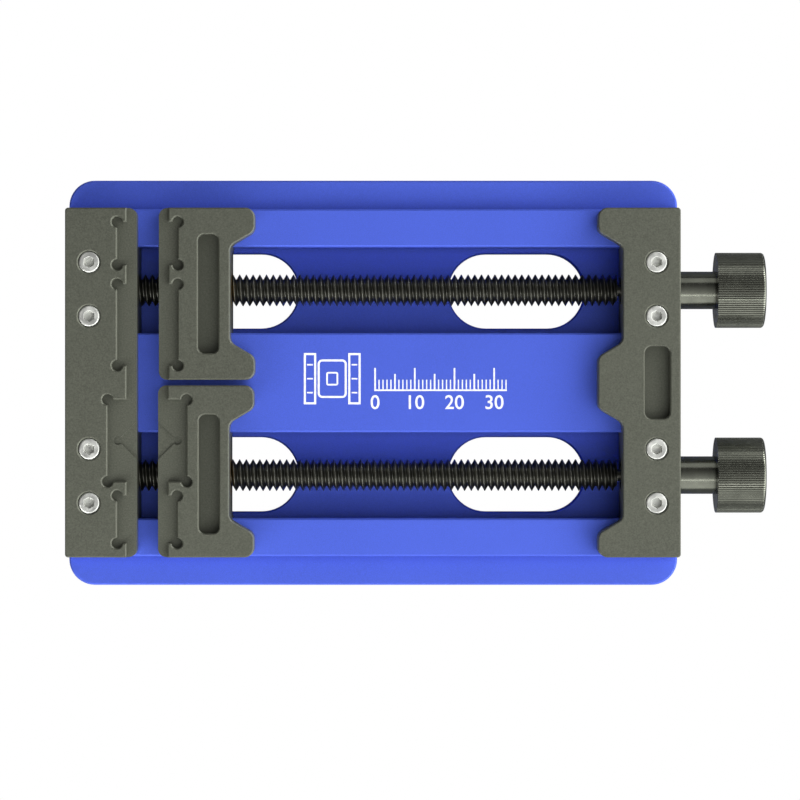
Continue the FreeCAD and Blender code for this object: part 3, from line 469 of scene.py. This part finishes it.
def finish_nodes(names, material, smooth_angle=30.0):
    """Give CAD nodes a material, and smooth shading away from their hard edges."""
    if not SMOOTHING:
        SMOOTHING.extend(smoothing_tree())
    tree, angle_socket = SMOOTHING
    for name in names:
        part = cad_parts[name]
        if not part.material_slots:
            part.data.materials.append(material)
        for slot in part.material_slots:
            slot.material = material
        smooth = part.modifiers.new("smooth_by_angle", "NODES")
        smooth.node_group = tree
        smooth[angle_socket] = math.radians(smooth_angle)


# --------------------------------------------------------------------------------- printed scale
SHARPEST_MITRE = 0.3    # a mitre never reaches further than a stroke's half width over this
NUMERAL_SIZE = 1.38     # font size for numerals one unit high
NUMERAL_WEIGHT = 0.012  # how far a numeral's strokes are thickened, as a share of its height


def add_bar(mesh, start, end, width):
    """One straight printed stroke with square ends, added to a bmesh as a flat quad."""
    along = (end - start).normalized() * (width / 2)
    across = Vector((-along.y, along.x))
    corners = [start - along - across, end + along - across, end + along + across, start - along + across]
    mesh.faces.new([mesh.verts.new((corner.x, corner.y, 0.0)) for corner in corners])


def add_loop(mesh, corners, width):
    """A closed outline of printed strokes with mitred corners, about given corner points."""
    count = len(corners)
    rings = ([], [])
    for i, corner in enumerate(corners):
        before = (corner - corners[i - 1]).normalized()
        after = (corners[(i + 1) % count] - corner).normalized()
        normal = Vector((-(before + after).y, (before + after).x)).normalized()
        reach = width / 2 / max(SHARPEST_MITRE, normal.dot(Vector((-before.y, before.x))))
        for ring, sign in zip(rings, (-1, 1)):
            point = corner + normal * reach * sign
            ring.append(mesh.verts.new((point.x, point.y, 0.0)))
    for i in range(count):
        j = (i + 1) % count
        mesh.faces.new([rings[0][i], rings[0][j], rings[1][j], rings[1][i]])


def rounded_rectangle(low, high, radius, steps=6):
    """Corner points of a rectangle with round corners."""
    centres = [(high.x - radius, high.y - radius, 0), (low.x + radius, high.y - radius, 90),
               (low.x + radius, low.y + radius, 180), (high.x - radius, low.y + radius, 270)]
    points = []
    for x, y, first in centres:
        for i in range(steps + 1):
            turn = math.radians(first + 90 * i / steps)
            points.append(Vector((x + radius * math.cos(turn), y + radius * math.sin(turn))))
    return points


def print_object(name, mesh, thickness, deck, material):
    """Turn flat strokes into a thin raised print on the deck that rides on the base."""
    bmesh.ops.recalc_face_normals(mesh, faces=mesh.faces)
    for face in mesh.faces:
        if face.normal.z < 0:
            face.normal_flip()
    flat = list(mesh.faces)
    raised = bmesh.ops.extrude_face_region(mesh, geom=flat)
    tops = [item for item in raised["geom"] if isinstance(item, bmesh.types.BMVert)]
    bmesh.ops.translate(mesh, verts=tops, vec=(0, 0, thickness))
    bmesh.ops.recalc_face_normals(mesh, faces=mesh.faces)
    data = bpy.data.meshes.new(name)
    mesh.to_mesh(data)
    mesh.free()
    data.materials.append(material)
    piece = bpy.data.objects.new(name, data)
    piece.location.z = deck
    bpy.context.scene.collection.objects.link(piece)
    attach(piece, "base")


def numeral_object(name, text, place, height, thickness, material):
    """A printed number as a thin mesh, centred on its place."""
    curve = bpy.data.curves.new(name, "FONT")
    curve.body = text
    curve.size = height * NUMERAL_SIZE
    curve.align_x = "CENTER"
    curve.resolution_u = 6
    curve.extrude = thickness / 2
    curve.offset = height * NUMERAL_WEIGHT
    source = bpy.data.objects.new(name + "_source", curve)
    bpy.context.scene.collection.objects.link(source)
    bpy.context.view_layer.update()
    data = bpy.data.meshes.new_from_object(source.evaluated_get(bpy.context.evaluated_depsgraph_get()))
    bpy.data.objects.remove(source)
    data.name = name
    data.materials.clear()
    data.materials.append(material)
    piece = bpy.data.objects.new(name, data)
    piece.location = (place.x, place.y, place.z + thickness / 2)
    bpy.context.scene.collection.objects.link(piece)
    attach(piece, "base")


def deck_height():
    """Height of the deck, the top of the base plate."""
    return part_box("base_plate")[1].z


def print_ruler(values, material):
    """Ticks each millimetre with longer ones at five and ten, on a base line, and numbers each ten."""
    base_y = -1.9 * MM
    numeral_gap = 1.1 * MM
    stroke = values.stroke
    ticks = {10: (5.4 * MM, stroke), 5: (3.9 * MM, stroke), 1: (2.5 * MM, stroke * 0.72)}
    mesh = bmesh.new()
    for i in range(values.millimetres + 1):
        x = values.zero_x + i * MM
        tall, width = next(tick for step, tick in ticks.items() if i % step == 0)
        add_bar(mesh, Vector((x, base_y + stroke)), Vector((x, base_y + tall)), width)
    end_x = values.zero_x + values.millimetres * MM
    add_bar(mesh, Vector((values.zero_x, base_y)), Vector((end_x, base_y)), stroke)
    deck = deck_height()
    print_object("deck_ruler", mesh, values.ink_height, deck, material)
    for number in range(0, values.millimetres + 1, 10):
        place = Vector((values.zero_x + number * MM, base_y - values.numeral_height - numeral_gap, deck))
        numeral_object(f"deck_numeral_{number}", str(number), place, values.numeral_height,
                       values.ink_height, material)


def print_clamp_sign(values, material):
    """A plain sign of a board with a chip on it, held between two jaws with grip lines."""
    stroke = values.stroke * 1.25
    chip_stroke, grip_stroke = stroke * 0.8, stroke * 0.7
    centre = Vector((-10.3 * MM, 1.0 * MM))
    board, board_corner = Vector((3.4 * MM, 4.6 * MM)), 0.9 * MM
    chip, chip_corner = Vector((1.3 * MM, 1.5 * MM)), 0.3 * MM
    jaw_near, jaw_far, jaw_half = 4.3 * MM, 6.9 * MM, 6.2 * MM
    grip_pitch, grip_inset = 3.52 * MM, 0.75 * MM
    mesh = bmesh.new()
    add_loop(mesh, rounded_rectangle(centre - board, centre + board, board_corner), stroke)
    add_loop(mesh, rounded_rectangle(centre - chip, centre + chip, chip_corner, steps=3), chip_stroke)
    for side in (-1, 1):
        face, back = centre.x + side * jaw_near, centre.x + side * jaw_far
        jaw = [Vector((face, centre.y - jaw_half)), Vector((back, centre.y - jaw_half)),
               Vector((back, centre.y + jaw_half)), Vector((face, centre.y + jaw_half))]
        add_loop(mesh, jaw if side > 0 else jaw[::-1], stroke)
        for row in (-1, 0, 1):
            y = centre.y + row * grip_pitch
            ends = (face + side * grip_inset, back - side * grip_inset)
            add_bar(mesh, Vector((ends[0], y)), Vector((ends[1], y)), grip_stroke)
    print_object("deck_clamp_sign", mesh, values.ink_height, deck_height(), material)


# ---------------------------------------------------------------------------------------- stage
FLOOR_BOUNCE = (0.16, 0.165, 0.17, 1.0)     # colour of the floor as the vise sees it
FLOOR_DROP = 0.02 * MM                      # how far the floor is under the feet
BRIGHT_SIDE = (0.86, -0.42, 0.09)           # the way to the lightest part of the room
DARK_FROM = -0.25                           # cosine to that way where the room gets evenly dark
DARK_LEVEL = 0.04                           # brightness added everywhere
BRIGHT_LEVEL = 4.2                          # brightness added at the lightest part
# Each softbox: name, place, aim, width, depth, and its part of the key power.
SOFTBOXES = (
    ("key_light", (0.50, -0.45, 0.45), (0.0, 0.0, 0.0), 0.5, 0.5, 0.40),
    ("near_light", (-0.24, -0.30, 0.22), (-0.05, 0.0, 0.0), 0.3, 0.2, 0.29),
    ("back_light", (0.36, 0.32, 0.20), (0.05, 0.02, 0.0), 0.3, 0.2, 0.30),
    ("front_strip", (0.05, -0.55, 0.92), (0.05, 0.0, 0.0), 1.1, 0.07, 0.22),
    ("rear_strip", (0.05, 0.80, 0.40), (0.05, 0.0, 0.0), 1.1, 0.5, 0.28),
)


def floor_material():
    """Pale seamless floor, evenly bright where the camera sees it."""
    material = bpy.data.materials.new("pale_floor")
    material.use_nodes = True
    tree = material.node_tree
    tree.nodes.clear()
    diffuse = add_node(tree, "ShaderNodeBsdfDiffuse", {"Color": FLOOR_BOUNCE})
    glow = add_node(tree, "ShaderNodeEmission", {"Color": WHITE, "Strength": 1.0})
    output = tree.nodes.new("ShaderNodeOutputMaterial")
    show_to_camera(tree, diffuse.outputs["BSDF"], glow.outputs["Emission"], output.inputs["Surface"])
    return material


def build_floor(size):
    """A large pale square under the feet."""
    mesh = bmesh.new()
    bmesh.ops.create_grid(mesh, x_segments=1, y_segments=1, size=size / 2)
    data = bpy.data.meshes.new("floor")
    mesh.to_mesh(data)
    mesh.free()
    data.materials.append(floor_material())
    floor = bpy.data.objects.new("floor", data)
    floor.location.z = -FLOOR_DROP
    bpy.context.scene.collection.objects.link(floor)


def build_surround(strength):
    """A soft grey room, lighter towards the knobs and the front, and plain white behind the vise."""
    world = bpy.data.worlds.new("soft_room")
    bpy.context.scene.world = world
    world.use_nodes = True
    tree = world.node_tree
    tree.nodes.clear()
    place = add_node(tree, "ShaderNodeTexCoord")
    toward = add_node(tree, "ShaderNodeVectorMath", operation="DOT_PRODUCT")
    toward.inputs[1].default_value = BRIGHT_SIDE
    rise = add_node(tree, "ShaderNodeMapRange", {"From Min": DARK_FROM, "From Max": 1.0})
    bend = add_node(tree, "ShaderNodeMath", {1: 2.0}, operation="POWER")
    level = add_node(tree, "ShaderNodeMath", {1: BRIGHT_LEVEL, 2: DARK_LEVEL}, operation="MULTIPLY_ADD")
    power = add_node(tree, "ShaderNodeMath", {1: strength}, operation="MULTIPLY")
    room = add_node(tree, "ShaderNodeBackground", {"Color": WHITE})
    backdrop = add_node(tree, "ShaderNodeBackground", {"Color": WHITE, "Strength": 1.0})
    output = tree.nodes.new("ShaderNodeOutputWorld")
    join(tree,
         (place.outputs["Generated"], toward.inputs[0]),
         (toward.outputs["Value"], rise.inputs["Value"]),
         (rise.outputs["Result"], bend.inputs[0]),
         (bend.outputs["Value"], level.inputs[0]),
         (level.outputs["Value"], power.inputs[0]),
         (power.outputs["Value"], room.inputs["Strength"]))
    show_to_camera(tree, room.outputs["Background"], backdrop.outputs["Background"], output.inputs["Surface"])


def add_softbox(name, place, aim, width, depth, watts):
    """A rectangular soft light that looks at a point."""
    lamp = bpy.data.lights.new(name, "AREA")
    lamp.shape = "RECTANGLE"
    lamp.size, lamp.size_y = width, depth
    lamp.energy = watts
    box = bpy.data.objects.new(name, lamp)
    box.location = place
    box.rotation_euler = (Vector(aim) - Vector(place)).to_track_quat("-Z", "Y").to_euler()
    bpy.context.scene.collection.objects.link(box)


def build_lights(key):
    """Soft lights at three corners, and two strips along the vise for its round parts."""
    for name, place, aim, width, depth, part in SOFTBOXES:
        add_softbox(name, place, aim, width, depth, key * part)


def build_camera(values):
    """A long lens looking straight down."""
    lens = bpy.data.cameras.new("camera")
    lens.lens = values.lens
    lens.sensor_width = 36.0
    lens.clip_start, lens.clip_end = 0.01, 20.0
    camera = bpy.data.objects.new("camera", lens)
    camera.location = (values.camera_x, values.camera_y, values.camera_height)
    bpy.context.scene.collection.objects.link(camera)
    bpy.context.scene.camera = camera


# ------------------------------------------------------------------------------------ operators
class VISE_OT_finish_plate(bpy.types.Operator):
    """Blue anodised finish on the base plate"""
    bl_idname = "vise.finish_plate"
    bl_label = "Finish Base Plate"

    def execute(self, context):
        values = context.scene.vise_plate
        # Painted shade: the plate is darkened to a quarter of its dye in its own channels and hollows.
        material = anodised_material("blue_anodised", tuple(values.dye), values.gloss_loss,
                                     values.edge_radius, grain_scale=5200.0, painted_hollow_tone=0.25, speckle=1.30)
        finish_nodes(["base_plate"], material)
        return {"FINISHED"}


class VISE_OT_finish_blocks(bpy.types.Operator):
    """Dark grey anodised finish on the two blocks and the two jaws"""
    bl_idname = "vise.finish_blocks"
    bl_label = "Finish Blocks and Jaws"

    def execute(self, context):
        values = context.scene.vise_blocks
        # Painted shade: the blocks and jaws are darkened only a little, to 0.95 of their dye, in their own
        # hollows.
        material = anodised_material("grey_anodised", tuple(values.dye), values.gloss_loss,
                                     values.edge_radius, grain_scale=2700.0, painted_hollow_tone=0.95, speckle=1.65)
        finish_nodes(["left_block", "right_block", "rear_jaw_block", "front_jaw_block"], material)
        return {"FINISHED"}


class VISE_OT_finish_drive(bpy.types.Operator):
    """Black oxide lead screws and turned anodised knobs"""
    bl_idname = "vise.finish_drive"
    bl_label = "Finish Lead Screws and Knobs"

    def execute(self, context):
        values = context.scene.vise_drive
        black = turned_material("black_oxide", tuple(values.screw_dye), values.screw_gloss_loss, wear_and_highlight=0.35)
        # Painted shade: the knobs' rib grooves are darkened to 0.12 of their dye.
        knob = turned_material("turned_grey_anodised", tuple(values.knob_dye), values.knob_gloss_loss,
                               ring_scale=9000.0, depth_mm=0.0004, painted_groove_tone=0.12)
        finish_nodes([f"{side}_lead_screw" for side in SIDES], black, smooth_angle=25.0)
        finish_nodes([f"{side}_knob" for side in SIDES], knob, smooth_angle=25.0)
        return {"FINISHED"}


class VISE_OT_finish_fasteners(bpy.types.Operator):
    """Plated cap screws and clips, black set screws, bronze bushes and nuts, rubber feet"""
    bl_idname = "vise.finish_fasteners"
    bl_label = "Finish Fasteners and Fittings"

    def execute(self, context):
        values = context.scene.vise_fasteners
        zinc = zinc_material("bright_zinc", tuple(values.zinc), values.zinc_gloss_loss)
        black = turned_material("black_set_screw", tuple(values.set_screw), values.fitting_gloss_loss)
        bronze = turned_material("bronze", tuple(values.bronze), values.fitting_gloss_loss)
        rubber = rubber_material("rubber", tuple(values.rubber))
        finish_nodes(["left_block_screws", "right_block_screws"], zinc)
        finish_nodes([f"{side}_retaining_clip" for side in SIDES], zinc)
        finish_nodes([f"{side}_set_screw" for side in SIDES], black)
        for kind in ("drive_bush", "end_bush", "jaw_nut"):
            finish_nodes([f"{side}_{kind}" for side in SIDES], bronze)
        finish_nodes(["rubber_feet"], rubber)
        return {"FINISHED"}


class VISE_OT_print_scale(bpy.types.Operator):
    """White millimetre scale and a clamping sign, printed on the deck"""
    bl_idname = "vise.print_scale"
    bl_label = "Print Scale"

    def execute(self, context):
        values = context.scene.vise_scale
        material = ink_material("white_ink", tuple(values.ink))
        print_ruler(values, material)
        print_clamp_sign(values, material)
        return {"FINISHED"}


class VISE_OT_build_stage(bpy.types.Operator):
    """Pale floor, soft surround, softboxes and the camera"""
    bl_idname = "vise.build_stage"
    bl_label = "Build Stage"

    def execute(self, context):
        values = context.scene.vise_studio
        build_floor(values.floor_size)
        build_surround(values.dome)
        build_lights(values.key)
        build_camera(values)
        context.scene.view_settings.view_transform = "Standard"
        return {"FINISHED"}


class VISE_PT_panel(bpy.types.Panel):
    """Every step of the vise's finish"""
    bl_idname = "VISE_PT_panel"
    bl_label = "Board Vise"
    bl_space_type = "VIEW_3D"
    bl_region_type = "UI"
    bl_category = "Board Vise"

    def draw(self, context):
        column = self.layout.column()
        for operator in OPERATORS:
            column.operator(operator.bl_idname)


OPERATORS = (VISE_OT_finish_plate, VISE_OT_finish_blocks, VISE_OT_finish_drive, VISE_OT_finish_fasteners,
             VISE_OT_print_scale, VISE_OT_build_stage)


def register():
    """Register the settings, operators and panel."""
    for name, group in SETTINGS.items():
        bpy.utils.register_class(group)
        setattr(bpy.types.Scene, name, PointerProperty(type=group))
    for operator in OPERATORS:
        bpy.utils.register_class(operator)
    bpy.utils.register_class(VISE_PT_panel)


def unregister():
    """Take back what register added."""
    bpy.utils.unregister_class(VISE_PT_panel)
    for operator in reversed(OPERATORS):
        bpy.utils.unregister_class(operator)
    for name, group in SETTINGS.items():
        delattr(bpy.types.Scene, name)
        bpy.utils.unregister_class(group)


def main():
    """Build everything in order."""
    register()
    bpy.ops.vise.finish_plate()
    bpy.ops.vise.finish_blocks()
    bpy.ops.vise.finish_drive()
    bpy.ops.vise.finish_fasteners()
    bpy.ops.vise.print_scale()
    bpy.ops.vise.build_stage()


if __name__ == "__main__":
    main()
